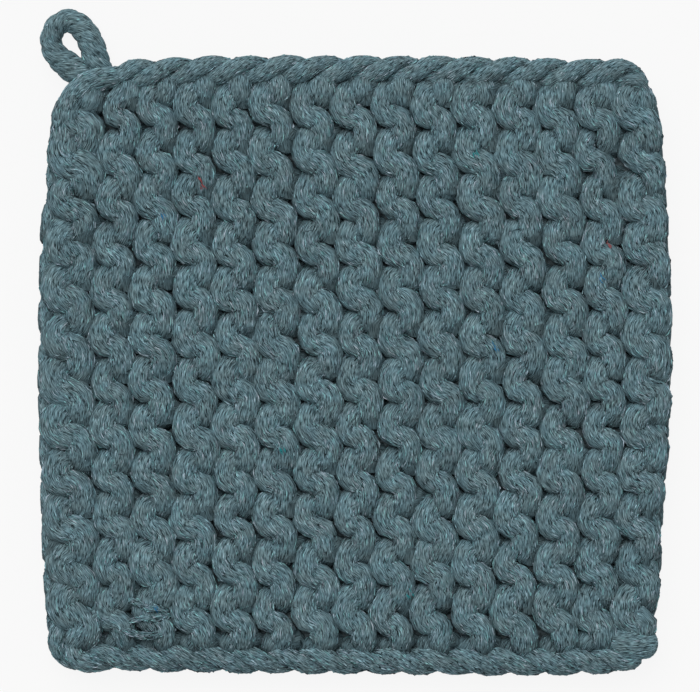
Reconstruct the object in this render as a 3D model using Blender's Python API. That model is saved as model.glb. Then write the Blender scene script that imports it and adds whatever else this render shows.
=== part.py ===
"""A chunky garter-stitch pot holder with a corded hanging loop at one corner.

It lies on its back on a surface, knitted face up: +X runs across the ridges, +Y towards the loop's edge, +Z up.
Sizes are worked out in millimetres from the middle of the panel, and become metres where points are placed.
"""

from collections import namedtuple

import bmesh
import bpy
import numpy as np
from mathutils import Matrix, Vector

MM = 0.001

# ---- The knitting -----------------------------------------------------------------------------------------------

STITCHES = 12  # in each ridge
STITCH = 14.52  # from one stitch to the next, along a ridge
FIRST_STITCH_Y = 82.6  # the middle of the top stitches
BEFORE_FIRST = 0.5  # stitches between that middle and the top edge's rope
AFTER_LAST = 0.72  # stitches between the last middle and the bottom edge's rope
EDGE_EASE = 1.5  # stitches over which the rows bend to follow a rope

# The outline at the sides, from the top corners to the bottom ones. It bellies like a barrel.
Side = namedtuple("Side", "y left right")
SIDES = (
    Side(91.2, -90.0, 94.1),
    Side(83.3, -95.1, 96.3),
    Side(68.9, -97.6, 98.4),
    Side(40.3, -100.3, 100.2),
    Side(11.6, -101.0, 101.1),
    Side(-17.0, -100.8, 100.5),
    Side(-45.7, -100.1, 98.6),
    Side(-74.4, -98.6, 96.7),
    Side(-88.0, -96.2, 94.8),
    Side(-94.5, -92.6, 92.2),
)

# The outline at the two selvedges, from the left corners to the right ones.
Edge = namedtuple("Edge", "x top bottom")
EDGES = (
    Edge(-91.0, 91.0, -95.0),
    Edge(-84.0, 94.1, -96.2),
    Edge(-77.5, 95.7, -96.3),
    Edge(-60.0, 97.4, -96.7),
    Edge(-27.0, 98.2, -97.3),
    Edge(0.0, 98.2, -97.5),
    Edge(30.0, 98.1, -97.8),
    Edge(60.0, 97.5, -97.9),
    Edge(78.0, 96.8, -97.1),
    Edge(88.0, 95.6, -96.0),
    Edge(93.5, 92.8, -93.5),
)

# The valleys between the 15 ridges, at three heights. The ridges bow with the sides and aren't quite even.
Valley = namedtuple("Valley", "top middle bottom")
VALLEY_HEIGHTS = Valley(75.3, 17.0, -71.2)
VALLEYS = (
    Valley(-80.7, -83.9, -82.0),
    Valley(-69.3, -71.2, -70.2),
    Valley(-57.5, -58.1, -57.8),
    Valley(-45.2, -44.7, -44.7),
    Valley(-33.4, -31.4, -32.0),
    Valley(-20.1, -18.5, -19.3),
    Valley(-7.0, -4.9, -6.1),
    Valley(6.1, 8.1, 5.6),
    Valley(18.9, 21.2, 18.3),
    Valley(31.6, 34.1, 31.1),
    Valley(45.1, 47.6, 44.1),
    Valley(57.8, 60.4, 57.2),
    Valley(70.1, 73.6, 70.5),
    Valley(83.6, 85.8, 82.6),
)
RIDGES = len(VALLEYS) + 1

# ---- The yarn in a ridge ----------------------------------------------------------------------------------------

# A ridge is two columns of arcs of yarn, half a stitch apart: big ones that bulge left and narrower ones that bulge
# right. Slits between them run in from the valleys, by turns, as far as the spine, so the yarn seems to wind in an S.
# These lines run along every ridge: share is a line's place across it, and weave how far it winds left and right.
Line = namedtuple("Line", "share weave")
LINES = {
    "valley": Line(0.0, 1.6),
    "left": Line(0.265, 0.5),
    "spine": Line(0.51, 0.0),
    "right": Line(0.765, 0.5),
}
OUTLINE_WEAVE = 0.8

# The heights of those lines above the surface that the knitting lies on, at six places along each stitch.
Stitch = namedtuple("Stitch", "along valley left spine right")
STITCH_ROWS = (
    Stitch(0.00, 8.0, 12.0, 11.3, 8.4),
    Stitch(0.13, 8.2, 11.8, 11.3, 10.8),
    Stitch(0.37, 8.2, 10.8, 11.2, 11.4),
    Stitch(0.50, 8.0, 8.4, 10.9, 11.6),
    Stitch(0.63, 8.2, 10.8, 10.6, 11.3),
    Stitch(0.87, 8.2, 11.7, 10.7, 10.6),
)

# ---- The rope-like selvedges ------------------------------------------------------------------------------------

ROPE_WIDTH = 7.8
ROPE_TOP = 10.2
ROPE_NOTCH = 1.2  # depth of the twist's grooves
ROPE_SCALLOP = 0.5  # how far each strand stands out of the outline
ROPE_SECTION = 0.9  # share of a half circle that its section shows
ROPE_SLANT = 0.9  # ridges that a strand crosses from the outline to the ridges
RIM_HEIGHT = 5.0  # where the sides are widest
BOTTOM_INSET = 2.6  # from the outline to the flat underside
GROOVE = 2.0  # depth of the grooves between the ridges underneath

# ---- The mesh: lines of points, as shares of a ridge, of a stitch and of a rope ------------------------------------

ROPE_ROWS = (0.0, 0.22, 0.6)
UNDER_COLUMNS = (0.25, 0.5, 0.75)
ROW_SPACE = 0.06  # no row lies nearer than this to the last one
RIM_INSET = 0.09  # the shoulder line next to the outline, in ridges
SHOULDER_HEIGHT = 9.6
EDGE_ROW = Stitch(0.0, 7.8, 8.2, 8.4, 8.2)  # the dark line where the stitches meet a rope

# ---- The loop ---------------------------------------------------------------------------------------------------

CORD_WIDTH = 7.2
CORD_LUMP = 0.05  # how much each crocheted lump swells it
LUMPS = 19
CORD_STEPS = 76
CORD_BEVEL = 2
PIECE_GAP = 0.3  # between the loop and the panel
CUTTER_HEIGHT = 22.0
CORNER_RIDGES = 2  # ridges along the corner that the loop is fitted to
CORNER_ROWS = 12  # rows of the face down to where that corner ends

# The middle of the cord, in a ring from its foot at the corner, up the right side and down the left.
CordPoint = namedtuple("CordPoint", "x y")
CORD_ROUTE = (
    CordPoint(-82.2, 95.6),
    CordPoint(-82.0, 100.2),
    CordPoint(-83.6, 104.8),
    CordPoint(-86.8, 109.0),
    CordPoint(-91.3, 111.0),
    CordPoint(-95.4, 108.6),
    CordPoint(-96.8, 104.0),
    CordPoint(-95.4, 99.0),
    CordPoint(-91.8, 95.0),
    CordPoint(-86.7, 93.2),
)

YARN_COLOUR = (0.076, 0.127, 0.144, 1.0)
YARN_ROUGHNESS = 0.95


def smooth(at, known_at, known):
    """A smooth curve through known points, straight beyond its ends."""
    at = np.asarray(at, float)
    known_at = np.asarray(known_at, float)
    known = np.asarray(known, float)
    slope = np.gradient(known, known_at)
    i = np.clip(np.searchsorted(known_at, at) - 1, 0, len(known_at) - 2)
    span = known_at[i + 1] - known_at[i]
    t = (at - known_at[i]) / span
    s = np.clip(t, 0.0, 1.0)
    curve = (
        known[i] * (1 + 2 * s) * (1 - s) ** 2
        + slope[i] * span * s * (1 - s) ** 2
        + known[i + 1] * s**2 * (3 - 2 * s)
        + slope[i + 1] * span * s**2 * (s - 1)
    )
    return curve + span * np.where(t < s, slope[i], slope[i + 1]) * (t - s)


def column(table, name):
    return np.array([getattr(row, name) for row in table])


def side_x(name, y):
    rows = SIDES[::-1]
    return smooth(y, column(rows, "y"), column(rows, name))


def edge_y(name, x):
    return smooth(x, column(EDGES, "x"), column(EDGES, name))


def ridge_x(u, y):
    """The x of ridge coordinate u at height y: u is 0 at the left outline, k at valley k, RIDGES at the right."""
    heights = VALLEY_HEIGHTS[::-1]
    lines = [side_x("left", y)]
    lines += [smooth(y, heights, valley[::-1]) for valley in VALLEYS]
    lines += [side_x("right", y)]
    lines = np.array(lines)
    k = np.clip(np.floor(u).astype(int), 0, RIDGES - 1)
    share = u - k
    spots = np.arange(len(u))
    return lines[k, spots] * (1 - share) + lines[k + 1, spots] * share


def row_y(v, x):
    """The y of stitch coordinate v at x. The first and last rows follow the ropes round the corners."""
    y = FIRST_STITCH_Y - STITCH * v
    above = edge_y("top", x) - ROPE_WIDTH - (FIRST_STITCH_Y + STITCH * BEFORE_FIRST)
    last = STITCHES - 1 + AFTER_LAST
    below = edge_y("bottom", x) + ROPE_WIDTH - (FIRST_STITCH_Y - STITCH * last)
    near_top = np.clip(1 - (v + BEFORE_FIRST) / EDGE_EASE, 0, 1) ** 2
    near_bottom = np.clip(1 - (last - v) / EDGE_EASE, 0, 1) ** 2
    return y + above * near_top + below * near_bottom


def knit_xy(u, v, weave=OUTLINE_WEAVE):
    """Where ridge coordinate u and stitch coordinate v lie on the panel, on a line that winds by weave."""
    x = ridge_x(u, FIRST_STITCH_Y - STITCH * v)
    for _ in range(3):
        y = row_y(v, x)
        x = ridge_x(u, y)
    return x - weave * np.cos(2 * np.pi * v), y


def rope_height(u, w):
    """The height of a selvedge's rope, w from 0 at the outline to 1 where the ridges begin."""
    section = np.sqrt(1 - (2 * ROPE_SECTION * w - 1) ** 2)
    twist = 0.5 + 0.5 * np.cos(2 * np.pi * (u + ROPE_SLANT * w))
    notch = ROPE_NOTCH * twist**3 * section
    return RIM_HEIGHT + (ROPE_TOP - RIM_HEIGHT) * section - notch


def rope_xy(u, w, name):
    """A place on a selvedge's rope."""
    first, outward = (-BEFORE_FIRST, 1) if name == "top" else (STITCHES - 1 + AFTER_LAST, -1)
    inner_x, inner_y = knit_xy(u, np.full(len(u), first))
    x = inner_x
    for _ in range(4):
        rim = edge_y(name, x) + outward * ROPE_SCALLOP * -np.cos(2 * np.pi * u)
        y = rim * (1 - w) + inner_y * w
        x = ridge_x(u, y) * (1 - w) + inner_x * w
    return x, y


def lattice(columns, rows):
    """A flat grid of quads, and the column and row of each of its points."""
    bm = bmesh.new()
    across, along = len(columns) - 1, len(rows) - 1
    bmesh.ops.create_grid(bm, x_segments=across, y_segments=along, size=1)
    column_of = [round((vert.co.x + 1) / 2 * across) for vert in bm.verts]
    row_of = [round((1 - vert.co.y) / 2 * along) for vert in bm.verts]
    return bm, np.array(column_of), np.array(row_of)


def place(bm, x, y, z):
    for vert, spot in zip(bm.verts, np.stack([x, y, z], axis=1) * MM):
        vert.co = spot


def face_columns():
    """The lines across the face: a name, a ridge coordinate and how far the line winds."""
    columns = [("rim", 0.0, OUTLINE_WEAVE), ("shoulder", RIM_INSET, OUTLINE_WEAVE)]
    for ridge in range(RIDGES):
        columns += [(name, ridge + line.share, line.weave) for name, line in LINES.items()]
    columns.pop(2)  # the first ridge starts at the rim and not at a valley
    return columns + [("shoulder", RIDGES - RIM_INSET, OUTLINE_WEAVE), ("rim", float(RIDGES), OUTLINE_WEAVE)]


def face_rows():
    """The rows of the face: an edge's name and a share of its rope, or a row of a stitch and its coordinate."""
    last = STITCHES - 1 + AFTER_LAST
    inner = [(row, n + row.along) for n in range(-1, STITCHES) for row in STITCH_ROWS]
    inner = [(row, v) for row, v in inner if -BEFORE_FIRST < v < last - ROW_SPACE]
    rows = [("top", w) for w in ROPE_ROWS]
    rows += [(EDGE_ROW, -BEFORE_FIRST)] + inner + [(EDGE_ROW, last)]
    return rows + [("bottom", w) for w in reversed(ROPE_ROWS)]


def row_xy(row, u, weave):
    """The places where a row of the face meets the lines at u."""
    kind, along = row
    along = np.full(len(u), along)
    return rope_xy(u, along, kind) if kind in ("top", "bottom") else knit_xy(u, along, weave)


def add_face(bm):
    """The knitted face, from rim to rim."""
    columns, rows = face_columns(), face_rows()
    grid, column_of, row_of = lattice(columns, rows)
    names = np.array([name for name, _, _ in columns])[column_of]
    u = np.array([share for _, share, _ in columns])[column_of]
    weave = np.array([wind for _, _, wind in columns])[column_of]
    x, y, z = np.zeros((3, len(u)))
    for r, row in enumerate(rows):
        here = row_of == r
        x[here], y[here] = row_xy(row, u[here], weave[here])
        if isinstance(row[0], Stitch):
            z[here] = [getattr(row[0], name, SHOULDER_HEIGHT) for name in names[here]]
        else:
            z[here] = rope_height(u[here], row[1])
    z[names == "rim"] = RIM_HEIGHT
    z[names == "shoulder"] = np.minimum(z[names == "shoulder"], SHOULDER_HEIGHT)
    place(grid, x, y, z)
    join(bm, grid)


def add_underside(bm):
    """The side it lies on: flat ridges, half a ridge along from those of the face, with grooves between them."""
    inset = BOTTOM_INSET / (VALLEYS[0].middle - min(column(SIDES, "left")))
    columns = [inset, UNDER_COLUMNS[1], UNDER_COLUMNS[2]]
    columns += [k + share for k in range(1, RIDGES - 1) for share in UNDER_COLUMNS]
    columns += [RIDGES - 1 + UNDER_COLUMNS[0], RIDGES - 1 + UNDER_COLUMNS[1], RIDGES - inset]
    rows = ["top"] + [float(n) for n in range(STITCHES)] + ["bottom"]
    grid, column_of, row_of = lattice(columns, rows)
    u = np.array(columns)[column_of]
    x, y, z = np.zeros((3, len(u)))
    for r, row in enumerate(rows):
        here = row_of == r
        if row in ("top", "bottom"):
            inward = BOTTOM_INSET / ROPE_WIDTH
            x[here], y[here] = rope_xy(u[here], np.full(here.sum(), inward), row)
        else:
            x[here], y[here] = knit_xy(u[here], np.full(here.sum(), row))
    inside = (row_of > 0) & (row_of < len(rows) - 1)
    groove = inside & np.isclose(u % 1, UNDER_COLUMNS[1])
    z[groove] = GROOVE
    place(grid, x, y, z)
    bmesh.ops.reverse_faces(grid, faces=grid.faces)
    join(bm, grid)


def join(bm, other):
    """Adds the second bmesh to the first."""
    mesh = bpy.data.meshes.new("part")
    other.to_mesh(mesh)
    other.free()
    bm.from_mesh(mesh)
    bpy.data.meshes.remove(mesh)


def knit_panel():
    bm = bmesh.new()
    add_face(bm)
    add_underside(bm)
    rims = [edge for edge in bm.edges if edge.is_boundary]
    bmesh.ops.bridge_loops(bm, edges=rims)
    bmesh.ops.triangulate(bm, faces=[face for face in bm.faces if len(face.verts) > 3])
    bmesh.ops.recalc_face_normals(bm, faces=bm.faces)
    return bm


def yarn(name):
    """Soft, matt, grey-blue cotton."""
    material = bpy.data.materials.new(name)
    material.use_nodes = True
    shader = material.node_tree.nodes["Principled BSDF"]
    shader.inputs["Base Color"].default_value = YARN_COLOUR
    shader.inputs["Roughness"].default_value = YARN_ROUGHNESS
    shader.inputs["Metallic"].default_value = 0.0
    return material


def add_object(name, mesh, collection):
    mesh.name = name
    thing = bpy.data.objects.new(name, mesh)
    collection.objects.link(thing)
    return thing


def finish(thing):
    thing.data.materials.clear()
    thing.data.materials.append(yarn(thing.name))
    thing.data.shade_smooth()


def corner_cutter(collection):
    """The top left corner of the panel, grown by the gap between the two pieces."""
    u = np.array([at for _, at, _ in face_columns() if at <= CORNER_RIDGES])
    top = np.array(row_xy(("top", 0.0), u, OUTLINE_WEAVE))[:, ::-1]
    side = [row_xy(row, np.zeros(1), OUTLINE_WEAVE) for row in face_rows()[1:CORNER_ROWS]]
    x, y = np.hstack([top, np.array(side)[:, :, 0].T])
    toward = np.stack([np.gradient(x), np.gradient(y)], axis=1)
    toward /= np.linalg.norm(toward, axis=1)[:, None]
    outline = np.stack([x + PIECE_GAP * toward[:, 1], y - PIECE_GAP * toward[:, 0]], axis=1)
    outline = np.vstack([outline, [(x[0], y[-1])]])
    bm = bmesh.new()
    low = [bm.verts.new((px * MM, py * MM, -CORD_WIDTH * MM)) for px, py in outline]
    floor = bm.faces.new(low)
    grown = bmesh.ops.extrude_face_region(bm, geom=[floor])
    top = [item for item in grown["geom"] if isinstance(item, bmesh.types.BMVert)]
    bmesh.ops.translate(bm, verts=top, vec=(0, 0, CUTTER_HEIGHT * MM))
    bmesh.ops.recalc_face_normals(bm, faces=bm.faces)
    mesh = bpy.data.meshes.new("corner_cutter")
    bm.to_mesh(mesh)
    bm.free()
    cutter = add_object("corner_cutter", mesh, collection)
    cutter.hide_render = True
    cutter.display_type = "WIRE"
    return cutter


def hanging_loop(collection, cutter):
    """A crocheted cord in a closed ring, whose foot is trimmed to the corner it is sewn to."""
    at = np.linspace(0, len(CORD_ROUTE), CORD_STEPS, endpoint=False)
    wrapped = CORD_ROUTE[-2:] + CORD_ROUTE + CORD_ROUTE[:3]
    known = np.arange(-2, len(CORD_ROUTE) + 3)
    x = smooth(at, known, column(wrapped, "x"))
    y = smooth(at, known, column(wrapped, "y"))
    curve = bpy.data.curves.new("hanging_loop", "CURVE")
    curve.dimensions = "3D"
    curve.bevel_depth = CORD_WIDTH / 2 * MM
    curve.bevel_resolution = CORD_BEVEL
    line = curve.splines.new("POLY")
    line.points.add(CORD_STEPS - 1)
    for point, px, py, turn in zip(line.points, x, y, at / len(CORD_ROUTE)):
        point.co = (px * MM, py * MM, CORD_WIDTH / 2 * (1 + CORD_LUMP) * MM, 1)
        point.radius = 1 + CORD_LUMP * np.cos(2 * np.pi * LUMPS * turn)
    line.use_cyclic_u = True
    guide = add_object("loop_guide", curve, collection)
    bpy.context.view_layer.update()
    swept = bpy.data.meshes.new_from_object(guide.evaluated_get(bpy.context.evaluated_depsgraph_get()))
    bpy.data.objects.remove(guide)
    loop = add_object("hanging_loop", swept, collection)
    trim = loop.modifiers.new("trim_to_corner", "BOOLEAN")
    trim.operation = "DIFFERENCE"
    trim.object = cutter
    return loop


def base_middle(things):
    """The point under the middle of the whole piece, on the surface it lies on."""
    bpy.context.view_layer.update()
    graph = bpy.context.evaluated_depsgraph_get()
    corners = []
    for thing in things:
        mesh = thing.evaluated_get(graph).to_mesh()
        corners += [vert.co.copy() for vert in mesh.vertices]
        thing.evaluated_get(graph).to_mesh_clear()
    corners = np.array(corners)
    low, high = corners.min(axis=0), corners.max(axis=0)
    return (low + high) / 2 * (1, 1, 0) + low * (0, 0, 1)


def main():
    for thing in list(bpy.data.objects):
        bpy.data.objects.remove(thing)
    pieces = bpy.data.collections.new("pot_holder")
    cutters = bpy.data.collections.new("cutters")
    for group in (pieces, cutters):
        bpy.context.scene.collection.children.link(group)
    mesh = bpy.data.meshes.new("knit_panel")
    bm = knit_panel()
    bm.to_mesh(mesh)
    bm.free()
    panel = add_object("knit_panel", mesh, pieces)
    cutter = corner_cutter(cutters)
    loop = hanging_loop(pieces, cutter)
    middle = base_middle([panel, loop])
    for thing in (panel, loop, cutter):
        thing.data.transform(Matrix.Translation(-Vector(middle)))
    finish(panel)
    finish(loop)


main()
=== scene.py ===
# %% [markdown]
# # A chunky knitted pot holder
#
# A pot holder is knitted in thick, soft cotton yarn. Garter stitch throws up ridges on both faces. In each
# ridge the yarn winds in fat S shapes, one for each stitch. A rope-like selvedge closes two edges, and a
# cord at one corner makes a loop to hang it by. This lesson builds every yarn and the strands on it as real
# geometry, and leaves only the finest streaks to the material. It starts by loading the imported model, whose
# size and place the looks have to keep.

# %% Load the frame
from collections import namedtuple

import bmesh
import bpy
import numpy as np
from mathutils.bvhtree import BVHTree
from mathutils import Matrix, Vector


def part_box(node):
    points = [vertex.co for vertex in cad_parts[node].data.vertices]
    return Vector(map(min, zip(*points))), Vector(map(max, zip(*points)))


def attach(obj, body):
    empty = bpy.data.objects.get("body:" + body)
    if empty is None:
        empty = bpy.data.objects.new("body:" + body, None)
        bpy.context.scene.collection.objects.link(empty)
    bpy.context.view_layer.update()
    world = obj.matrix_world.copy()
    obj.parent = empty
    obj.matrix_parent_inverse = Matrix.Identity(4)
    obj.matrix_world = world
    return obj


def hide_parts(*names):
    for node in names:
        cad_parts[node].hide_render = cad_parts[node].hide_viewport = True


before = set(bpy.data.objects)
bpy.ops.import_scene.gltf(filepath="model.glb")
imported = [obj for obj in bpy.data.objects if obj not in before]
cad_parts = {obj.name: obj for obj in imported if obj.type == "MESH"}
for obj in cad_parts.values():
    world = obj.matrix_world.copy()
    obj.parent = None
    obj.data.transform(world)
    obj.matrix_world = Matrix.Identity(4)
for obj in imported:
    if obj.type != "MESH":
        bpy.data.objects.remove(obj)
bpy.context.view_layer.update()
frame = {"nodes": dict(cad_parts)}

MM = 0.001
chance = np.random.default_rng(15)
print("nodes:", ", ".join(frame["nodes"]))

# %% [markdown]
# ## The plan of the knitting
#
# Everything is placed in two knitting coordinates. The ridge coordinate u is 0 at the left outline, k at
# the valley before ridge k, and 15 at the right outline. The stitch coordinate v is n at the middle of
# stitch n, counted down from the top. The tables below hold the outline, which bellies a little, and the
# valleys, which aren't quite straight. A grid of even squares would be simpler, but it would look
# machine-made.

# %% The plan: stitches, outline and valleys, in millimetres from the middle of the panel
STITCHES = 12
STITCH = 14.52
FIRST_STITCH_Y = 82.6
BEFORE_FIRST = 0.5
AFTER_LAST = 0.72
EDGE_EASE = 1.5
ROPE_WIDTH = 7.8

Side = namedtuple("Side", "y left right")
SIDES = (
    Side(-94.5, -92.6, 92.2),
    Side(-88.0, -96.2, 94.8),
    Side(-74.4, -98.6, 96.7),
    Side(-45.7, -100.1, 98.6),
    Side(-17.0, -100.8, 100.5),
    Side(11.6, -101.0, 101.1),
    Side(40.3, -100.3, 100.2),
    Side(68.9, -97.6, 98.4),
    Side(83.3, -95.1, 96.3),
    Side(91.2, -90.0, 94.1),
)
Edge = namedtuple("Edge", "x top bottom")
EDGES = (
    Edge(-91.0, 91.0, -95.0),
    Edge(-84.0, 94.1, -96.2),
    Edge(-77.5, 95.7, -96.3),
    Edge(-60.0, 97.4, -96.7),
    Edge(-27.0, 98.2, -97.3),
    Edge(0.0, 98.2, -97.5),
    Edge(30.0, 98.1, -97.8),
    Edge(60.0, 97.5, -97.9),
    Edge(78.0, 96.8, -97.1),
    Edge(88.0, 95.6, -96.0),
    Edge(93.5, 92.8, -93.5),
)
Valley = namedtuple("Valley", "bottom middle top")
VALLEY_HEIGHTS = Valley(-71.2, 17.0, 75.3)
VALLEYS = (
    Valley(-82.0, -83.9, -80.7),
    Valley(-70.2, -71.2, -69.3),
    Valley(-57.8, -58.1, -57.5),
    Valley(-44.7, -44.7, -45.2),
    Valley(-32.0, -31.4, -33.4),
    Valley(-19.3, -18.5, -20.1),
    Valley(-6.1, -4.9, -7.0),
    Valley(5.6, 8.1, 6.1),
    Valley(18.3, 21.2, 18.9),
    Valley(31.1, 34.1, 31.6),
    Valley(44.1, 47.6, 45.1),
    Valley(57.2, 60.4, 57.8),
    Valley(70.5, 73.6, 70.1),
    Valley(82.6, 85.8, 83.6),
)
RIDGES = len(VALLEYS) + 1
print(f"{RIDGES} ridges of {STITCHES} stitches")

# %% A smooth curve through known points, straight beyond its ends
def smooth(at, known_at, known):
    at = np.asarray(at, float)
    known_at = np.asarray(known_at, float)
    known = np.asarray(known, float)
    slope = np.gradient(known, known_at)
    i = np.clip(np.searchsorted(known_at, at) - 1, 0, len(known_at) - 2)
    span = known_at[i + 1] - known_at[i]
    t = (at - known_at[i]) / span
    s = np.clip(t, 0.0, 1.0)
    curve = (
        known[i] * (1 + 2 * s) * (1 - s) ** 2
        + slope[i] * span * s * (1 - s) ** 2
        + known[i + 1] * s**2 * (3 - 2 * s)
        + slope[i + 1] * span * s**2 * (s - 1)
    )
    return curve + span * np.where(t < s, slope[i], slope[i + 1]) * (t - s)


def column(table, name):
    return np.array([getattr(row, name) for row in table])


# %% From knitting coordinates to millimetres
KNIT_ROUNDS = 3


def side_x(name, y):
    return smooth(y, column(SIDES, "y"), column(SIDES, name))


def edge_y(name, x):
    return smooth(x, column(EDGES, "x"), column(EDGES, name))


def ridge_x(u, y):
    lines = [side_x("left", y)]
    lines += [smooth(y, VALLEY_HEIGHTS, valley) for valley in VALLEYS]
    lines += [side_x("right", y)]
    lines = np.array(lines)
    k = np.clip(np.floor(u).astype(int), 0, RIDGES - 1)
    share = u - k
    spots = np.arange(len(u))
    return lines[k, spots] * (1 - share) + lines[k + 1, spots] * share


def row_y(v, x):
    y = FIRST_STITCH_Y - STITCH * v
    above = edge_y("top", x) - ROPE_WIDTH - (FIRST_STITCH_Y + STITCH * BEFORE_FIRST)
    last = STITCHES - 1 + AFTER_LAST
    below = edge_y("bottom", x) + ROPE_WIDTH - (FIRST_STITCH_Y - STITCH * last)
    near_top = np.clip(1 - (v + BEFORE_FIRST) / EDGE_EASE, 0, 1) ** 2
    near_bottom = np.clip(1 - (last - v) / EDGE_EASE, 0, 1) ** 2
    return y + above * near_top + below * near_bottom


def knit_xy(u, v):
    """The place in millimetres, which takes a few rounds because x and y depend on each other."""
    x = ridge_x(u, FIRST_STITCH_Y - STITCH * v)
    for _ in range(KNIT_ROUNDS):
        y = row_y(v, x)
        x = ridge_x(u, y)
    return x, y


# %% [markdown]
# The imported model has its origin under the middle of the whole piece, loop included. The plan is measured
# from the middle of the panel. The panel's own box, read from the frame, says how far the plan moves.

# %% Where the middle of the panel lies in the frame
panel_low, panel_high = (np.array(corner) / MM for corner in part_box("knit_panel"))
every_mm = np.arange(-90, 91)
plan_x = (side_x("left", every_mm).min() + side_x("right", every_mm).max()) / 2
plan_y = (edge_y("top", every_mm).max() + edge_y("bottom", every_mm).min()) / 2
SHIFT = (panel_low + panel_high) / 2 - (plan_x, plan_y, 0)
SHIFT[2] = 0
print("the plan moves by", SHIFT.round(2), "mm")

# %% [markdown]
# ## One yarn
#
# A yarn is a soft bundle of fine strands. Blender could sweep a curve's bevel along its route, but a
# knitted yarn isn't round: it lies wide where it bulges and narrow where it dives. So a yarn here starts as
# a flat grid, which is rolled up round its route with its own width and thickness at every step. The seam
# where the grid's sides meet is welded. The grid's UV map is kept, in millimetres round and along the yarn,
# so that the finish can follow it.

# %% Even steps along a route
STEP = 1.4
FINER = 5
HIDDEN_PACE = 0.5
TIP_START = 0.1
UP = (0.0, 0.0, 1.0)
TINY = 1e-9
Yarn = namedtuple("Yarn", "route wide thick lean out")


def unit(vectors):
    return vectors / np.maximum(np.linalg.norm(vectors, axis=-1, keepdims=True), TINY)


def run_of(route):
    """How far along a route each of its points is."""
    return np.r_[0, np.cumsum(np.linalg.norm(np.diff(route[:, :3], axis=0), axis=1))]


def even_steps(points, step=STEP, hidden_below=0.0):
    """Even points along a smooth curve through rows of x, y, height and more, with longer hidden steps."""
    points = np.asarray(points, float)
    known_at = run_of(points)
    fine = np.linspace(0, known_at[-1], int(known_at[-1] / step * FINER))
    curve = np.stack([smooth(fine, known_at, points[:, i]) for i in range(points.shape[1])], axis=1)
    pace = np.where(curve[1:, 2] < hidden_below, HIDDEN_PACE, 1.0)
    paced = np.r_[0, np.cumsum(np.diff(run_of(curve)) * pace)]
    at = np.linspace(0, paced[-1], int(paced[-1] / step) + 1)
    return np.stack([np.interp(at, paced, curve[:, i]) for i in range(points.shape[1])], axis=1)


def across_and_out(route, out):
    """Two directions square to a route at each point: one across it, and one as near to out as can be."""
    along = unit(np.gradient(route, axis=0))
    out = unit(out - along * np.sum(along * out, axis=1, keepdims=True))
    return np.cross(along, out), out


def rounded(route, wide, thick, lean, out=UP):
    """A yarn with round tips at both ends, whose strands lean by an angle against its route."""
    run = run_of(route)
    to_end = np.minimum(run, run[-1] - run) + TIP_START
    tip = np.sqrt(1 - (1 - np.clip(to_end / wide.mean(), 0, 1)) ** 2)
    return Yarn(route, wide * tip, thick * tip, lean * np.ones(len(route)), out)


# %% Roll a grid up round a route
LOWEST_YARN = 0.3
MAP_ROOM = 500


def flat_grid(sides, steps):
    """A flat grid with a UV map."""
    bm = bmesh.new()
    bm.loops.layers.uv.new("strand")
    bmesh.ops.create_grid(bm, x_segments=sides, y_segments=steps, size=1, calc_uvs=True)
    mesh = bpy.data.meshes.new("rolled")
    bm.to_mesh(mesh)
    bm.free()
    return mesh


def roll_up(mesh, yarn, sides, steps):
    """Move the grid's points round the yarn, whose wide and thick are half its width and thickness."""
    flat = np.empty(len(mesh.vertices) * 3)
    mesh.vertices.foreach_get("co", flat)
    flat = (flat.reshape(-1, 3) + 1) / 2
    turn = -np.pi / 2 - 2 * np.pi * np.round(flat[:, 0] * sides) / sides
    row = np.round(flat[:, 1] * steps).astype(int)
    side, out = across_and_out(yarn.route, yarn.out)
    spot = yarn.route[row]
    spot = spot + side[row] * (yarn.wide[row] * np.cos(turn))[:, None]
    spot = spot + out[row] * (yarn.thick[row] * np.sin(turn))[:, None]
    spot[:, 2] = np.maximum(spot[:, 2], LOWEST_YARN)
    mesh.vertices.foreach_set("co", ((spot + SHIFT) * MM).ravel())


def stretch_map(mesh, yarn, steps):
    """Stretch the UV map to millimetres, slanted as the strands lean, at a place of the yarn's own."""
    layer = mesh.uv_layers["strand"].uv
    uv = np.empty(len(layer) * 2)
    layer.foreach_get("vector", uv)
    uv = uv.reshape(-1, 2)
    run = run_of(yarn.route)
    slip = np.r_[0, np.cumsum(np.diff(run) * np.tan(yarn.lean[1:]))]
    step = uv[:, 1] * steps
    uv[:, 0] = uv[:, 0] * 2 * np.pi * yarn.wide.mean() + np.interp(step, np.arange(steps + 1), slip)
    uv[:, 1] = np.interp(step, np.arange(steps + 1), run)
    uv += chance.uniform(0, MAP_ROOM, 2)
    layer.foreach_set("vector", uv.ravel())


# %% Join several rolled yarns into one closed mesh
WELD = 1e-7


def roll_yarn(name, yarns, sides):
    whole = bmesh.new()
    whole.loops.layers.uv.new("strand")
    for yarn in yarns:
        steps = len(yarn.route) - 1
        mesh = flat_grid(sides, steps)
        roll_up(mesh, yarn, sides, steps)
        stretch_map(mesh, yarn, steps)
        whole.from_mesh(mesh)
        bpy.data.meshes.remove(mesh)
    bmesh.ops.remove_doubles(whole, verts=whole.verts, dist=WELD)
    bmesh.ops.holes_fill(whole, edges=[edge for edge in whole.edges if edge.is_boundary], sides=0)
    bmesh.ops.recalc_face_normals(whole, faces=whole.faces)
    for face in whole.faces:
        face.smooth = True
    return add_piece(name, whole)


def add_piece(name, bm):
    mesh = bpy.data.meshes.new(name)
    bm.to_mesh(mesh)
    bm.free()
    return place(name, mesh)


def place(name, mesh):
    piece = bpy.data.objects.new(name, mesh)
    bpy.context.scene.collection.objects.link(piece)
    triangles = sum(len(face.vertices) - 2 for face in mesh.polygons)
    print(f"{name}: {triangles} triangles")
    return piece


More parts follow.
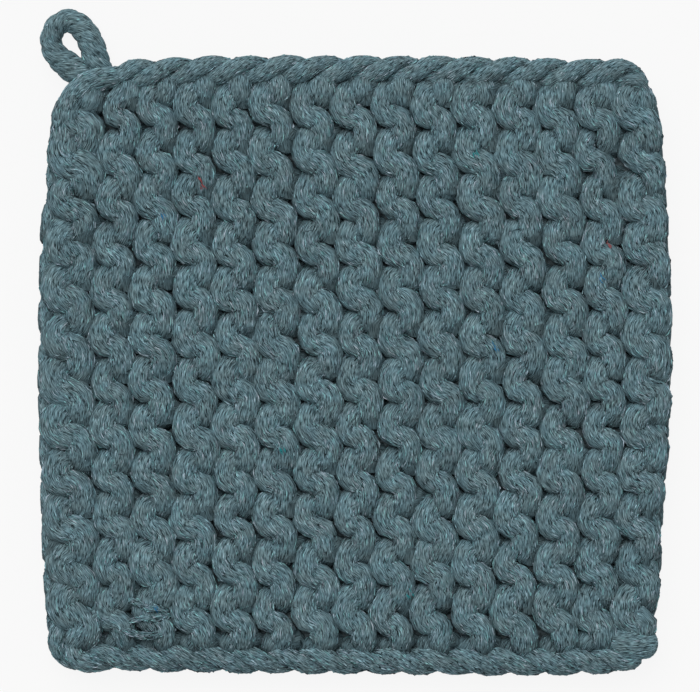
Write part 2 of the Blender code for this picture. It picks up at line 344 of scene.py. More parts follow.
# %% [markdown]
# ## The strands of a yarn
#
# This cotton is hardly twisted, so its strands show as fine short streaks, each a little lighter, darker,
# greener or greyer than the next. A bump alone would look printed on, so thousands of small pointed
# spindles are laid on the yarns, three-sided and only six triangles each. An operator call for every
# spindle would be slow, so arrays place them all at once. Some are as thin as hairs and stand off the yarn
# as fluff, most of them along the outline.

# %% The kinds of strand and the faces of a spindle
Strands = namedtuple("Strands", "each_mm short long width lift sink lean_varies")
PLIES = Strands(each_mm=20.0, short=2.2, long=4.8, width=0.33, lift=0.10, sink=0.06, lean_varies=0.15)
FLUFF = Strands(each_mm=0.8, short=1.8, long=3.8, width=0.12, lift=0.45, sink=0.1, lean_varies=0.7)
EDGE_FLUFF = FLUFF._replace(each_mm=2.2, width=0.14, lift=0.35, lean_varies=0.5)
SPINDLE = np.array([(0, 2, 1), (0, 3, 2), (0, 1, 3), (4, 1, 2), (4, 2, 3), (4, 3, 1)])
CORNERS = 5

# %% Find the places of the spindles on one yarn
THICKNESS = 12.3
WIDTHS = (0.6, 1.3)
OFF_MIDDLE = 0.6
TURNED_UNDER = -0.1


def spindles(yarn, kind, face):
    """The corners of the spindles on a yarn's upper side (face 1), its lower side (-1) or all round (0)."""
    run = run_of(yarn.route)
    count = int(run[-1] * kind.each_mm)
    middle = chance.uniform(0, run[-1], count)
    turn = chance.uniform(0, 2 * np.pi, count)
    length = chance.uniform(kind.short, kind.long, count)
    lean = np.interp(middle, run, yarn.lean) + chance.normal(0, kind.lean_varies, count)
    width = kind.width * chance.uniform(*WIDTHS, count)
    share = np.array([-0.5, 0.0, 0.5])
    at = middle[:, None] + share * (length * np.cos(lean))[:, None]
    wide = np.interp(at, run, yarn.wide)
    thick = np.interp(at, run, yarn.thick)
    turn = turn[:, None] + share * (length * np.sin(lean))[:, None] * 2 / (wide + thick)

    def at_route(values):
        return np.stack([np.interp(at, run, values[:, i]) for i in range(3)], axis=2)

    side, out = across_and_out(yarn.route, yarn.out)
    side, out, spot = at_route(side), at_route(out), at_route(yarn.route)
    away = unit(side * (np.cos(turn) / wide)[..., None] + out * (np.sin(turn) / thick)[..., None])
    spot = spot + side * (wide * np.cos(turn))[..., None] + out * (thick * np.sin(turn))[..., None]
    across = unit(np.cross(spot[:, 2] - spot[:, 0], away[:, 1])) * (width / 2)[:, None]
    base = spot - away * kind.sink
    crest = spot[:, 1] + away[:, 1] * kind.lift
    corners = np.stack([base[:, 0], base[:, 1] - across, crest, base[:, 1] + across, base[:, 2]], axis=1)
    shown = np.ones(count, bool)
    if face:
        above = (spot[:, 1, 2] - THICKNESS / 2) * face
        shown = (above > OFF_MIDDLE) & (away[:, 1, 2] * face > TURNED_UNDER)
    return corners[shown]


# %% Lay spindles on several yarns
LOWEST_STRAND = 0.1


def lay_strands(name, yarns, kind, face=0):
    corners = np.concatenate([spindles(yarn, kind, face) for yarn in yarns])
    corners[:, :, 2] = np.maximum(corners[:, :, 2], LOWEST_STRAND)
    count = len(corners)
    faces = (SPINDLE + CORNERS * np.arange(count)[:, None, None]).reshape(-1, 3)
    mesh = bpy.data.meshes.new(name)
    mesh.from_pydata(((corners + SHIFT) * MM).reshape(-1, 3).tolist(), [], faces.tolist())
    for attribute in ("shade", "tint"):
        values = np.repeat(chance.uniform(0, 1, count), CORNERS)
        mesh.attributes.new(attribute, "FLOAT", "POINT").data.foreach_set("value", values)
    return place(name, mesh)


# %% [markdown]
# The fibres of this soft cotton shade each other in the creases between stitches, far more than smooth
# yarns would, and the finish paints that shade into the colour. So each point of the two faces gets a number
# for the painted shade to darken by: 0 on the crowns and 1 down in a crease.

# %% Number the creases for the painted shade
# Depths at which the painted crease shade starts and is full.
CROWN_DEPTH = 1.0
CREASE_DEPTH = 5.6


def mark_crease_shade(piece, face):
    """Note how deep each point lies under the front (face 1) or the back (-1), for the painted crease shade.
    """
    places = np.empty(len(piece.data.vertices) * 3)
    piece.data.vertices.foreach_get("co", places)
    height = places[2::3] / MM
    depth = THICKNESS - height if face > 0 else height
    crease_shade = np.clip((depth - CROWN_DEPTH) / (CREASE_DEPTH - CROWN_DEPTH), 0, 1)
    piece.data.attributes.new("crease_shade", "FLOAT", "POINT").data.foreach_set("value", crease_shade)


# %% [markdown]
# ## The S stitches of the front
#
# In each stitch the yarn comes up from behind the stitch above, bulges left, crosses the ridge to the
# right, bulges right and tucks behind the stitch below. The table gives the places it goes through: how far
# across the ridge, how far along it, how high above the table the pot holder lies on, and half its width
# and thickness there. The last places are deep inside, where the yarn runs back up to start the next
# stitch, hidden under this one. No two stitches are quite alike, so each gets small changes of its own, and
# those near the corners get larger ones.

# %% The bends of one stitch
Bend = namedtuple("Bend", "across along height wide thick lean")
S_STITCH = (
    Bend(0.54, -0.44, 4.6, 3.4, 2.6, 0.0),
    Bend(0.43, -0.35, 7.2, 4.1, 2.9, 0.05),
    Bend(0.335, -0.23, 8.8, 4.4, 3.1, 0.15),
    Bend(0.275, -0.08, 9.2, 4.4, 3.1, 0.3),
    Bend(0.275, 0.06, 9.2, 4.5, 3.1, 0.15),
    Bend(0.33, 0.17, 9.2, 4.5, 3.1, -0.2),
    Bend(0.45, 0.22, 9.2, 4.25, 3.1, -0.5),
    Bend(0.59, 0.25, 9.2, 4.25, 3.1, -0.5),
    Bend(0.70, 0.31, 9.2, 4.45, 3.1, -0.3),
    Bend(0.76, 0.43, 9.2, 4.3, 3.1, -0.05),
    Bend(0.765, 0.58, 9.1, 4.2, 3.0, 0.05),
    Bend(0.75, 0.73, 8.9, 4.2, 2.9, 0.1),
    Bend(0.69, 0.88, 7.2, 3.9, 2.7, 0.1),
    Bend(0.61, 0.90, 4.2, 2.9, 2.6, 0.0),
    Bend(0.66, 0.70, 3.9, 2.7, 2.6, 0.0),
)
CROSSING = 5
CROWN = 4
RIDGE_PITCH = 13.1
STITCHES_VARY = Bend(0.022, 0.026, 0.20, 0.05, 0.03, 0.10)
EACH_BEND_VARIES = 0.4
SIZES = slice(3, 5)
Untidy = namedtuple("Untidy", "ridge stitch extra")
UNTIDY = (Untidy(0.6, 1.2, 0.9), Untidy(1.4, 10.6, 0.8), Untidy(13.6, 10.8, 1.0), Untidy(14.0, 0.4, 0.8))
UNTIDY_REACH = 3


def stitch_bends(ridge):
    """The bends of a column of stitches, with half a stitch more under each rope."""
    numbers = np.arange(-1, STITCHES + 1)
    bends = np.array([S_STITCH] * len(numbers))
    care = np.ones(len(numbers))
    for spot in UNTIDY:
        away = (ridge + 0.5 - spot.ridge) ** 2 + (numbers - spot.stitch) ** 2
        care += spot.extra * np.exp(-away / UNTIDY_REACH)
    change = chance.normal(0, 1, (len(numbers), 1, len(Bend._fields)))
    change = change + chance.normal(0, EACH_BEND_VARIES, bends.shape)
    change *= STITCHES_VARY * care[:, None, None]
    change[:, :, SIZES] *= bends[:, :, SIZES]
    bends = bends + change
    bends[:, :, 1] += numbers[:, None]
    return bends.reshape(-1, len(Bend._fields))[CROSSING : CROWN - len(S_STITCH)]


# %% The yarn of one ridge
SINKS_FROM = 0.08
SINKS_BEFORE = 0.14
SINKS_WITHIN = 0.30
SLIMMER = 0.35
UNDER_ROPE = 0.16
HIDDEN_BELOW = 6.0
EDGE_ROOM = 0.04
BULGE = 0.2
CLEARS_TABLE = 0.4
FOLLOWS_RIDGE = 0.6
LUMPS = 0.06
LUMP_STEPS = 4


def ridge_yarn(left, right, back=False):
    """The yarn of the ridge between two ridge coordinates, on the front or on the back."""
    bends = stitch_bends(left)
    under_top = -BEFORE_FIRST + SINKS_FROM - bends[:, 1]
    under_bottom = bends[:, 1] - (STITCHES - 1 + AFTER_LAST - SINKS_BEFORE)
    sunk = np.clip(np.maximum(under_top, under_bottom) / SINKS_WITHIN, 0, 1)
    bends[:, 2] += (THICKNESS / 2 - bends[:, 2]) * sunk
    bends[:, SIZES] *= 1 - SLIMMER * sunk[:, None]
    bends[:, 1] = np.clip(bends[:, 1], -BEFORE_FIRST - UNDER_ROPE, STITCHES - 1 + AFTER_LAST + UNDER_ROPE)
    left = max(left, EDGE_ROOM)
    right = min(right, RIDGES - EDGE_ROOM)
    share = 1 - bends[:, 0] if back else bends[:, 0]
    x, y = knit_xy(left + (right - left) * share, bends[:, 1])
    ends = [knit_xy(np.full(len(bends), u), bends[:, 1])[0] for u in (left, right)]
    wide = bends[:, 3] * ((ends[1] - ends[0]) / RIDGE_PITCH) ** FOLLOWS_RIDGE
    x = np.clip(x, side_x("left", y) + wide - BULGE, side_x("right", y) - wide + BULGE)
    places = np.stack([x, y, bends[:, 2], wide, bends[:, 4], bends[:, 5]], axis=1)
    path = even_steps(places, hidden_below=HIDDEN_BELOW)
    if back:
        path[:, 2] = THICKNESS + CLEARS_TABLE - path[:, 2]
    even = np.ones(LUMP_STEPS) / LUMP_STEPS
    lumps = 1 + np.convolve(chance.normal(0, LUMPS, len(path)), even, mode="same")
    path[:, SIZES] *= lumps[:, None]
    return rounded(path[:, :3], path[:, 3], path[:, 4], path[:, 5])


# %% Knit the front
knitting = []
strands = []


def knit_face(name, ridges, together, sides, kind, face):
    """Roll up the ridges of a face, a few to a piece, and lay their strands."""
    for part, first in enumerate(range(0, len(ridges), together)):
        yarns = ridges[first : first + together]
        knitting.append(roll_yarn(f"{name}_ridges_{part}", yarns, sides))
        strands.append(lay_strands(f"{name}_strands_{part}", yarns, kind, face))
        mark_crease_shade(knitting[-1], face)
        mark_crease_shade(strands[-1], face)


ridges = [ridge_yarn(k, k + 1) for k in range(RIDGES)]
knit_face("front", ridges, together=5, sides=16, kind=PLIES, face=1)
strands.append(lay_strands("front_fluff_strands", ridges, FLUFF, face=1))

# %% [markdown]
# ## The back
#
# Garter stitch looks the same from behind, with its ridges under the valleys of the front. So the back is
# knitted from the same bends, turned over, between the middles of the front's ridges. The outermost ridge
# on each side is only half as wide.

# %% Knit the back
BACK_PLIES = PLIES._replace(each_mm=9.0, width=0.5)
borders = [0.0] + [k + 0.5 for k in range(RIDGES)] + [float(RIDGES)]
back_ridges = [ridge_yarn(left, right, back=True) for left, right in zip(borders, borders[1:])]
knit_face("back", back_ridges, together=6, sides=12, kind=BACK_PLIES, face=-1)

# %% [markdown]
# ## The selvedges
#
# At the top and bottom, the yarn turns from one row to the next and makes a chain that looks like a rope of
# two strands. Two yarns are wound round a middle line, half a turn apart. At the top the strands climb to
# the right, and at the bottom they fall. A slimmer rope of the same kind stiffens the two sides, where the
# stitches were cast on and bound off.

# %% Wind strands round a middle line
Twist = namedtuple("Twist", "strands across up wide thick pitch start ease lean")
END_SPREAD = 0.15
SWELL = 0.07
SWELL_LENGTH = 4
SWELL_STARTS = (0, 6)
UNEVEN = 0.012


def twisted(points, twist, step=1.3):
    """Yarns wound round a line of x, y, height and fatness; a pitch below zero winds them the other way."""
    path = even_steps(points, step)
    middle, fat = path[:, :3], path[:, 3]
    run = run_of(middle)
    side, up = across_and_out(middle, UP)
    spread = np.clip(np.minimum(run, run[-1] - run) / twist.ease, END_SPREAD, 1)[:, None]
    yarns = []
    for strand in range(twist.strands):
        turn = 2 * np.pi * (run / twist.pitch + strand / twist.strands + twist.start)[:, None]
        away = side * twist.across * np.cos(turn) + up * twist.up * np.sin(turn)
        swell = 1 + SWELL * np.sin(run / SWELL_LENGTH + chance.uniform(*SWELL_STARTS))
        swell = (swell + chance.normal(0, UNEVEN, len(run))) * fat
        route = middle + away * spread * fat[:, None]
        yarns.append(rounded(route, twist.wide * swell, twist.thick * swell, twist.lean, unit(away)))
    return yarns


# %% The sizes and the ends of the ropes along the top and the bottom
TOP_ROPE = Twist(
    strands=2, across=2.3, up=2.3, wide=3.3, thick=2.7, pitch=24.0, start=0.1, ease=8, lean=-0.3
)
BOTTOM_ROPE = Twist(
    strands=2, across=2.0, up=2.3, wide=3.1, thick=2.7, pitch=-23.0, start=0.3, ease=12, lean=0.4
)
RopePoint = namedtuple("RopePoint", "x y height fatness")
TOP_START = (RopePoint(-79.0, 91.6, 6.0, 0.9),)
TOP_END = (
    RopePoint(85.6, 93.0, 6.8, 1.0),
    RopePoint(90.4, 90.8, 6.6, 0.92),
    RopePoint(92.2, 87.4, 6.2, 0.8),
)
BOTTOM_START = (
    RopePoint(-94.4, -72.0, 4.4, 0.8),
    RopePoint(-94.6, -80.4, 5.6, 0.9),
    RopePoint(-93.2, -88.4, 6.6, 1.0),
    RopePoint(-89.4, -92.8, 6.8, 1.0),
)
BOTTOM_END = (
    RopePoint(80.0, -93.6, 6.8, 1.0),
    RopePoint(87.0, -93.2, 6.6, 1.05),
    RopePoint(91.4, -91.6, 6.4, 1.1),
)

# %% Wind the ropes along the top and the bottom
ROPE_HEIGHT = 6.8
POINT_EVERY = 8.0
ROPE_SIDES = 18
Rope = namedtuple("Rope", "name line twist step")


def rope_line(edge, from_x, to_x, inward):
    x = np.arange(from_x, to_x, POINT_EVERY)
    y = edge_y(edge, x) + inward * ROPE_WIDTH / 2
    return np.stack([x, y, np.full(len(x), ROPE_HEIGHT), np.ones(len(x))], axis=1)


top_line = np.vstack([TOP_START, rope_line("top", from_x=-71, to_x=81, inward=-1), TOP_END])
bottom_line = np.vstack([BOTTOM_START, rope_line("bottom", from_x=-80, to_x=76, inward=1), BOTTOM_END])
ropes = (
    Rope("top_rope", top_line, TOP_ROPE, step=0.8),
    Rope("bottom_rope", bottom_line, BOTTOM_ROPE, step=1.3),
)
rope_yarns = []
for rope in ropes:
    yarns = twisted(rope.line, rope.twist, rope.step)
    knitting.append(roll_yarn(rope.name, yarns, ROPE_SIDES))
    rope_yarns += yarns

# %% Wind the slimmer ropes down the sides
SIDE_ROPE = Twist(
    strands=2, across=1.1, up=1.3, wide=2.3, thick=2.6, pitch=29.0, start=0.0, ease=8, lean=-0.2
)
SIDE_ROPE_INSET = 3.9
SIDE_ROPE_HEIGHT = 6.0
SIDE_ROPE_TOP, SIDE_ROPE_BOTTOM = 76, -84
SIDE_ROPE_SIDES = 14
y = np.arange(SIDE_ROPE_TOP, SIDE_ROPE_BOTTOM, -POINT_EVERY)
for name, inward in (("left", 1), ("right", -1)):
    x = side_x(name, y) + inward * SIDE_ROPE_INSET
    line = np.stack([x, y, np.full(len(y), SIDE_ROPE_HEIGHT), np.ones(len(y))], axis=1)
    yarns = twisted(line, SIDE_ROPE)
    knitting.append(roll_yarn(f"{name}_rope", yarns, SIDE_ROPE_SIDES))
    rope_yarns += yarns

# %% [markdown]
# ## The corners
#
# At three of the corners the yarn runs over the end of a rope: a long strand round the top left corner, a
# short one across the bottom left, and a fat stitch that closes the bottom right. Near the bottom left,
# thin ends are woven in.

# %% The yarns that close the corners, and the ends woven in
Place = namedtuple("Place", "x y height wide thick")
CORNER_YARNS = (
    (
        Place(-94.0, 56.0, 4.6, 2.6, 2.2),
        Place(-93.6, 65.0, 7.4, 3.4, 2.8),
        Place(-93.1, 73.0, 8.8, 3.8, 3.0),
        Place(-91.9, 80.0, 8.9, 3.8, 3.0),
        Place(-89.6, 85.7, 8.9, 3.9, 3.0),
        Place(-85.0, 90.0, 8.8, 3.9, 3.0),
        Place(-78.6, 92.0, 8.2, 3.6, 2.9),
        Place(-71.5, 92.6, 5.6, 2.8, 2.4),
    ),
    (
        Place(-80.6, -77.0, 6.4, 2.4, 2.2),
        Place(-84.4, -81.2, 9.3, 3.4, 2.8),
        Place(-88.0, -85.6, 9.4, 3.7, 2.9),
        Place(-91.2, -89.6, 6.8, 3.0, 2.6),
    ),
    (
        Place(80.6, -86.4, 6.0, 3.4, 2.6),
        Place(84.6, -87.4, 8.6, 4.6, 3.0),
        Place(89.4, -88.0, 9.0, 5.1, 3.3),
        Place(93.6, -88.0, 8.2, 5.1, 3.3),
        Place(96.0, -87.8, 6.0, 4.6, 3.2),
    ),
)
WOVEN_ENDS = (
    (
        Place(-77.0, -83.6, 8.6, 0.8, 0.8),
        Place(-72.0, -84.4, 11.6, 1.0, 0.8),
        Place(-67.0, -85.6, 11.8, 1.1, 0.8),
        Place(-62.0, -85.4, 11.6, 1.0, 0.8),
        Place(-57.0, -83.6, 8.8, 0.8, 0.8),
    ),
    (
        Place(-73.4, -74.0, 9.4, 0.8, 0.8),
        Place(-69.6, -74.6, 12.0, 1.1, 0.8),
        Place(-66.0, -76.8, 12.2, 1.0, 0.8),
        Place(-62.8, -76.6, 12.0, 1.0, 0.8),
        Place(-59.4, -78.4, 9.6, 0.8, 0.8),
    ),
    (
        Place(-73.0, -81.8, 9.4, 0.7, 0.7),
        Place(-68.0, -80.2, 11.9, 0.9, 0.8),
        Place(-63.0, -80.4, 12.0, 0.9, 0.8),
        Place(-58.6, -79.0, 9.6, 0.7, 0.7),
    ),
)


# %% Roll up the short yarns and finish the edges with strands
SHORT_YARN_LEAN = 0.1
EDGE_PLIES = PLIES._replace(each_mm=15.0)
WOVEN_PLIES = PLIES._replace(width=0.3, lift=0.25, lean_varies=0.5)


def short_yarn(places, step):
    path = even_steps(places, step)
    return rounded(path[:, :3], path[:, 3], path[:, 4], SHORT_YARN_LEAN)


corners = [short_yarn(places, step=0.9) for places in CORNER_YARNS]
woven = [short_yarn(places, step=0.8) for places in WOVEN_ENDS]
knitting.append(roll_yarn("corner_yarns", corners, sides=18))
knitting.append(roll_yarn("woven_ends", woven, sides=10))
outline = rope_yarns + corners + [ridges[0], ridges[-1]]
strands.append(lay_strands("edge_strands", rope_yarns + corners, EDGE_PLIES))
strands.append(lay_strands("woven_strands", woven, WOVEN_PLIES))
strands.append(lay_strands("edge_fluff_strands", outline, EDGE_FLUFF))

# %% [markdown]
# ## The loop
#
# The loop is a short thick cord of three strands, which comes out of the corner, turns back and goes in
# again behind the rope.

# %% Wind the cord of the loop
LOOP_ROUTE = (
    RopePoint(-79.6, 90.0, 4.6, 1.05),
    RopePoint(-81.8, 95.4, 4.6, 1.17),
    RopePoint(-83.0, 99.8, 4.6, 1.18),
    RopePoint(-84.6, 104.6, 4.4, 1.10),
    RopePoint(-87.6, 108.6, 4.2, 1.02),
    RopePoint(-91.3, 110.6, 4.1, 0.97),
    RopePoint(-95.2, 108.6, 4.1, 0.97),
    RopePoint(-97.0, 104.2, 4.1, 0.99),
    RopePoint(-95.4, 99.6, 4.2, 1.05),
    RopePoint(-91.4, 96.1, 4.4, 1.16),
    RopePoint(-86.8, 93.0, 4.4, 1.14),
    RopePoint(-82.5, 89.8, 4.2, 1.0),
)
LOOP_CORD = Twist(
    strands=3, across=1.35, up=1.3, wide=2.65, thick=2.5, pitch=12.5, start=0.0, ease=4, lean=-0.75
)
LOOP_PLIES = PLIES._replace(each_mm=5.0, width=0.5)
cord = twisted(LOOP_ROUTE, LOOP_CORD, step=0.8)
loop = roll_yarn("loop_cord", cord, sides=14)
loop_strands = lay_strands("loop_strands", cord, LOOP_PLIES)
print(f"the loop's cord is {run_of(np.array(LOOP_ROUTE))[-1]:.1f} mm long")

# %% [markdown]
# ## The dark inside
#
# Between the two faces the yarns run back and forth through the thickness. They show only as darkness at
# the bottom of the holes between stitches. A thin sheet of knitted ground closes the view there. Its colour
# is painted shade, far darker than the cotton itself.

# %% Lay the ground between the faces
GROUND_HEIGHT = 6.1
GROUND_THICKNESS = 1.2
GROUND_INSET = 0.25
GROUND_WAVE = 0.5
SQUARES_IN_RIDGE = 3
SQUARES_IN_STITCH = 4
bm = bmesh.new()
across = RIDGES * SQUARES_IN_RIDGE
along = STITCHES * SQUARES_IN_STITCH
bmesh.ops.create_grid(bm, x_segments=across, y_segments=along, size=1)
spots = np.array([vert.co for vert in bm.verts])
u = GROUND_INSET + (spots[:, 0] + 1) / 2 * (RIDGES - 2 * GROUND_INSET)
rows = STITCHES - 1 + AFTER_LAST + BEFORE_FIRST
v = -BEFORE_FIRST - GROUND_INSET + (1 - spots[:, 1]) / 2 * (rows + 2 * GROUND_INSET)
x, y = knit_xy(u, v)
wave = GROUND_WAVE * np.cos(2 * np.pi * u) * np.cos(2 * np.pi * v)
for vert, spot in zip(bm.verts, np.stack([x, y, GROUND_HEIGHT + wave], axis=1)):
    vert.co = (spot + SHIFT) * MM
ground = add_piece("ground", bm)
thicken = ground.modifiers.new("thickness", "SOLIDIFY")
thicken.thickness = GROUND_THICKNESS * MM
thicken.offset = 0

# %% [markdown]
# ## A few dyed fibres
#
# Recycled cotton keeps odd fibres of other colours, here some red ones, some blue ones and some turquoise.
# They are spindles as well, dropped straight down on the yarn that lies below their place.

# %% The places and the dyes of the odd fibres
Fleck = namedtuple("Fleck", "x y dye")
RED = (0.36, 0.11, 0.12)
BLUE = (0.05, 0.23, 0.42)
TURQUOISE = (0.03, 0.32, 0.35)
FLECKS = (
    Fleck(-48.8, 59.6, RED),
    Fleck(-47.9, 57.4, RED),
    Fleck(80.7, 38.4, RED),
    Fleck(-61.0, 47.9, BLUE),
    Fleck(-63.0, -77.3, BLUE),
    Fleck(78.2, 28.2, BLUE),
    Fleck(-22.8, -26.6, TURQUOISE),
    Fleck(38.5, 67.6, TURQUOISE),
    Fleck(17.4, -72.4, TURQUOISE),
    Fleck(44.6, 6.2, BLUE),
)

# %% Drop coloured fibres on the knitting
FLECK_FIBRES = 5
FLECK_SPREAD = 0.5
FIBRE_WAY = (0.5, -1.0)
FIBRE_WAY_VARIES = 0.3
FIBRE_WIDTH = 0.16
FIBRE_LIFT = 0.2
DROP_FROM = 1.0


def drop_flecks(name, flecks, onto):
    depsgraph = bpy.context.evaluated_depsgraph_get()
    trees = [BVHTree.FromObject(piece, depsgraph) for piece in onto]
    places = []
    dyes = []
    for fleck in flecks:
        for x, y in chance.normal((fleck.x, fleck.y), FLECK_SPREAD, (FLECK_FIBRES, 2)):
            above = ((x + SHIFT[0]) * MM, (y + SHIFT[1]) * MM, DROP_FROM)
            hits = [tree.ray_cast(above, (0, 0, -1))[0] for tree in trees]
            height = max((hit.z / MM for hit in hits if hit), default=THICKNESS)
            along = np.array([*chance.normal(FIBRE_WAY, FIBRE_WAY_VARIES), 0.0])
            across = np.cross(unit(along), UP) * FIBRE_WIDTH
            middle = np.array([x, y, height + FIBRE_LIFT])
            crest = middle + (0, 0, FIBRE_LIFT)
            places.append([middle - along, middle - across, crest, middle + across, middle + along])
            dyes += [(*fleck.dye, 1.0)] * CORNERS
    faces = (SPINDLE + CORNERS * np.arange(len(places))[:, None, None]).reshape(-1, 3)
    mesh = bpy.data.meshes.new(name)
    mesh.from_pydata(((np.array(places) + SHIFT) * MM).reshape(-1, 3).tolist(), [], faces.tolist())
    mesh.attributes.new("dye", "FLOAT_COLOR", "POINT").data.foreach_set("color", np.ravel(dyes))
    return place(name, mesh)


flecks = drop_flecks("flecks", FLECKS, onto=knitting)

# %% [markdown]
# ## The colour of the cotton
#
# The yarn is heathered: grey, teal and a little blue, spun together. A noise stretched along the yarn's UV
# map gives the fine streaks between the spindles, and raises them as a bump. The spindles take their own
# shade and tint from the two numbers that each one carries. Over both lies a soft patchiness, as wide as
# half a stitch. A single colour would look like painted rope. Down in the creases both are darkened by
# painted shade. The yarn has hardly any shine.

# %% What the cotton materials share
WHITE = (1.0, 1.0, 1.0)
# Painted shade in the creases: the colour is multiplied by these halfway down a crease and at its bottom.
PAINTED_HALF_CREASE_SHADE = (0.68, 0.68, 0.68)
PAINTED_CREASE_SHADE = (0.60, 0.60, 0.60)
DULL = (0.86, 0.84, 0.84)
WARM = (1.0, 0.965, 0.93)
COOL = (0.93, 0.99, 1.0)
PATCH_SCALE = 130
TINT_SCALE = 210
TINT_STRETCH = (1, 1.3, 1)
NO_STRETCH = (1, 1, 1)


# %% A rough cotton material, put together node by node
class Cotton:
    def __init__(self, name, roughness=0.95, specular=0.2):
        self.material = bpy.data.materials.new(name)
        self.material.use_nodes = True
        self.nodes = self.material.node_tree.nodes
        self.links = self.material.node_tree.links
        self.shader = self.nodes["Principled BSDF"]
        self.shader.inputs["Roughness"].default_value = roughness
        self.shader.inputs["Specular IOR Level"].default_value = specular

    def attribute(self, name):
        node = self.nodes.new("ShaderNodeAttribute")
        node.attribute_name = name
        return node

    def noise(self, vector, scale, stretch=NO_STRETCH, detail=2.0):
        squeeze = self.nodes.new("ShaderNodeMapping")
        squeeze.inputs["Scale"].default_value = stretch
        noise = self.nodes.new("ShaderNodeTexNoise")
        noise.inputs["Scale"].default_value = scale
        noise.inputs["Detail"].default_value = detail
        self.links.new(vector, squeeze.inputs["Vector"])
        self.links.new(squeeze.outputs["Vector"], noise.inputs["Vector"])
        return noise.outputs["Fac"]

    def ramp(self, value, *stops):
        ramp = self.nodes.new("ShaderNodeValToRGB")
        elements = ramp.color_ramp.elements
        while len(elements) < len(stops):
            elements.new(0.5)
        for element, (position, colour) in zip(elements, stops):
            element.position = position
            element.color = (*colour, 1)
        self.links.new(value, ramp.inputs["Fac"])
        return ramp.outputs["Color"]

    def times(self, first, second):
        mix = self.nodes.new("ShaderNodeMix")
        mix.data_type = "RGBA"
        mix.blend_type = "MULTIPLY"
        mix.inputs["Factor"].default_value = 1.0
        self.links.new(first, mix.inputs["A"])
        self.links.new(second, mix.inputs["B"])
        return mix.outputs["Result"]

    def painted_crease_shade(self, result):
        # Painted shade: the colour is darkened down in the creases between stitches, by each point's depth
        # number.
        crease_shade = self.attribute("crease_shade").outputs["Fac"]
        return self.times(result, self.ramp(crease_shade, (0.0, WHITE), (0.5, PAINTED_HALF_CREASE_SHADE), (1.0, PAINTED_CREASE_SHADE)))

    def patches(self):
        coordinates = self.nodes.new("ShaderNodeTexCoord").outputs["Object"]
        dull = self.ramp(self.noise(coordinates, PATCH_SCALE), (0.3, DULL), (0.7, WHITE))
        tint = self.ramp(self.noise(coordinates, TINT_SCALE, TINT_STRETCH), (0.35, WARM), (0.65, COOL))
        return self.times(dull, tint)

    def colour(self, result):
        self.links.new(result, self.shader.inputs["Base Color"])

    def bump(self, height, strength, distance):
        bump = self.nodes.new("ShaderNodeBump")
        bump.inputs["Strength"].default_value = strength
        bump.inputs["Distance"].default_value = distance
        self.links.new(height, bump.inputs["Height"])
        self.links.new(bump.outputs["Normal"], self.shader.inputs["Normal"])


# %% The finish of the yarns under the strands
YARN_DARK = (0.015, 0.034, 0.042)
YARN_LIGHT = (0.245, 0.39, 0.445)
STREAKS = (3.2, 0.6, 1)
heathered = Cotton("heathered_cotton")
yarn_map = heathered.attribute("strand").outputs["Vector"]
streaks = heathered.noise(yarn_map, scale=1.0, stretch=STREAKS, detail=3.0)
shades = heathered.ramp(streaks, (0.34, YARN_DARK), (0.67, YARN_LIGHT))
# The yarn's colour is darkened by painted shade down in the creases.
heathered.colour(heathered.painted_crease_shade(heathered.times(shades, heathered.patches())))
heathered.bump(streaks, strength=0.9, distance=0.5 * MM)

# %% The finish of the strands
SHADOW = (0.005, 0.014, 0.018)
HALF_LIGHT = (0.165, 0.248, 0.283)
LIGHT = (0.56, 0.735, 0.805)
GREY = (0.88, 0.80, 0.86)
MIDDLE = (0.70, 0.82, 0.86)
TEAL = (0.56, 0.86, 0.82)
stranded = Cotton("cotton_strands", specular=0.25)
shade = stranded.attribute("shade").outputs["Fac"]
shades = stranded.ramp(shade, (0.10, SHADOW), (0.50, HALF_LIGHT), (0.96, LIGHT))
tint = stranded.attribute("tint").outputs["Fac"]
tints = stranded.ramp(tint, (0.1, GREY), (0.5, MIDDLE), (0.9, TEAL))
# The strands' colour is darkened by painted shade down in the creases.
stranded.colour(stranded.painted_crease_shade(stranded.times(stranded.times(shades, tints), stranded.patches())))

# %% The finishes of the dyed fibres, and of the ground in painted shade
# Painted shade: the ground is coloured far darker than the cotton, for the shade deep inside the knitting.
GROUND_SHADE_DARKEST = (0.045, 0.062, 0.068)
GROUND_SHADE_LIGHTEST = (0.12, 0.16, 0.175)
dyed = Cotton("dyed_fibres")
dyed.colour(dyed.times(dyed.attribute("dye").outputs["Color"], dyed.patches()))

# The ground's dark colour is painted shade, with a fine random speckle.
ground_shade = Cotton("ground_painted_shade")
specks = ground_shade.noise(ground_shade.nodes.new("ShaderNodeTexCoord").outputs["Object"], scale=900)
ground_shade.colour(ground_shade.ramp(specks, (0.35, GROUND_SHADE_DARKEST), (0.65, GROUND_SHADE_LIGHTEST)))
ground_shade.bump(specks, strength=0.6, distance=0.4 * MM)

# %% [markdown]
# Each piece gets its finish. Nothing on a pot holder moves by itself, so every piece rides on the one body.
# The knitting and the ground take the place of the imported panel, and the cord that of the loop; both
# imported parts are hidden.

# %% Give each piece its finish and its place in the frame
finishes = (
    (heathered, knitting + [loop]),
    (stranded, strands + [loop_strands]),
    (dyed, [flecks]),
    (ground_shade, [ground]),
)
for cotton, pieces in finishes:
    print(cotton.material.name, "on", len(pieces), "pieces")
    for piece in pieces:
        piece.data.materials.append(cotton.material)
for piece in knitting + strands + [loop, loop_strands, flecks, ground]:
    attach(piece, "root")
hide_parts("knit_panel")
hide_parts("hanging_loop")

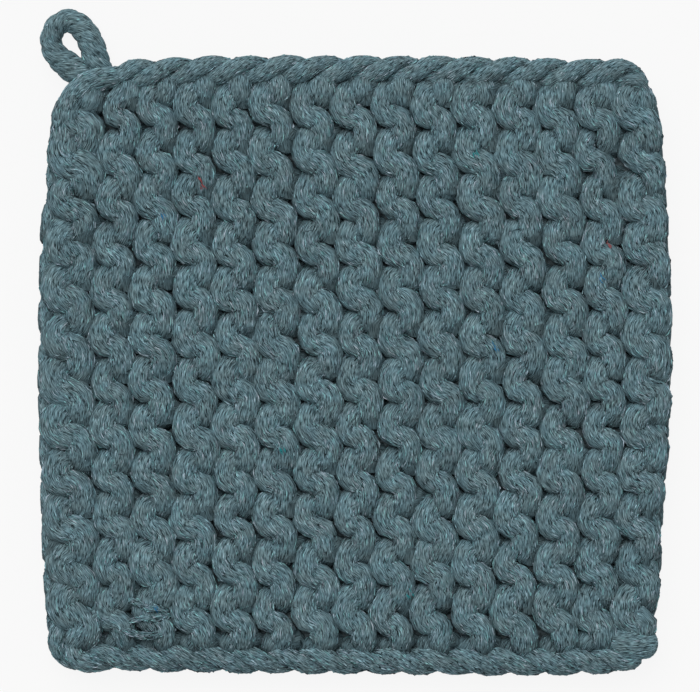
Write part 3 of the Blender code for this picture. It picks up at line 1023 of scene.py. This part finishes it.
# %% [markdown]
# ## The floor, the light and the camera
#
# The photo was taken straight from above on a bright white table, with big soft lamps. A floor that glows a
# little of its own accord keeps the shadow pale, as the white table does. One wide lamp from the upper left
# gives the stitches their shape.

# %% The table
TABLE_GLOW = 0.892
TABLE_GREY = (0.06, 0.06, 0.06, 1)
TABLE_REACH = 1.5
bm = bmesh.new()
bmesh.ops.create_grid(bm, x_segments=1, y_segments=1, size=TABLE_REACH)
floor = add_piece("floor", bm)
table = Cotton("white_table", roughness=1.0, specular=0.0)
table.shader.inputs["Base Color"].default_value = TABLE_GREY
table.shader.inputs["Emission Color"].default_value = (1, 1, 1, 1)
table.shader.inputs["Emission Strength"].default_value = TABLE_GLOW
floor.data.materials.append(table.material)

# %% The lamps
world = bpy.data.worlds.new("studio")
bpy.context.scene.world = world
world.use_nodes = True
sky = world.node_tree.nodes["Background"]
sky.inputs["Strength"].default_value = 0.40
sky.inputs["Color"].default_value = (1, 1, 1, 1)

sun = bpy.data.lights.new("softbox", "SUN")
sun.angle = 1.1
sun.energy = 2.25
softbox = bpy.data.objects.new("softbox", sun)
softbox.rotation_euler = (-0.7, -0.3, 0)
bpy.context.scene.collection.objects.link(softbox)

# %% The camera, straight above the middle of the photo's frame
Photo = namedtuple("Photo", "width height per_mm middle_x middle_y")
PHOTO = Photo(width=700, height=692, per_mm=3.14, middle_x=354.5, middle_y=366.5)
CAMERA_HEIGHT = 1.5
FACE_HEIGHT = 9
camera_data = bpy.data.cameras.new("camera")
camera_data.sensor_width = 36
distance = CAMERA_HEIGHT / MM - FACE_HEIGHT
camera_data.lens = camera_data.sensor_width * distance / (PHOTO.width / PHOTO.per_mm)
camera = bpy.data.objects.new("camera", camera_data)
camera.location = (
    ((PHOTO.width / 2 - PHOTO.middle_x) / PHOTO.per_mm + SHIFT[0]) * MM,
    ((PHOTO.middle_y - PHOTO.height / 2) / PHOTO.per_mm + SHIFT[1]) * MM,
    CAMERA_HEIGHT,
)
bpy.context.scene.collection.objects.link(camera)
bpy.context.scene.camera = camera
bpy.context.scene.view_settings.view_transform = "Standard"
print(f"the camera's lens is {camera_data.lens:.0f} mm")
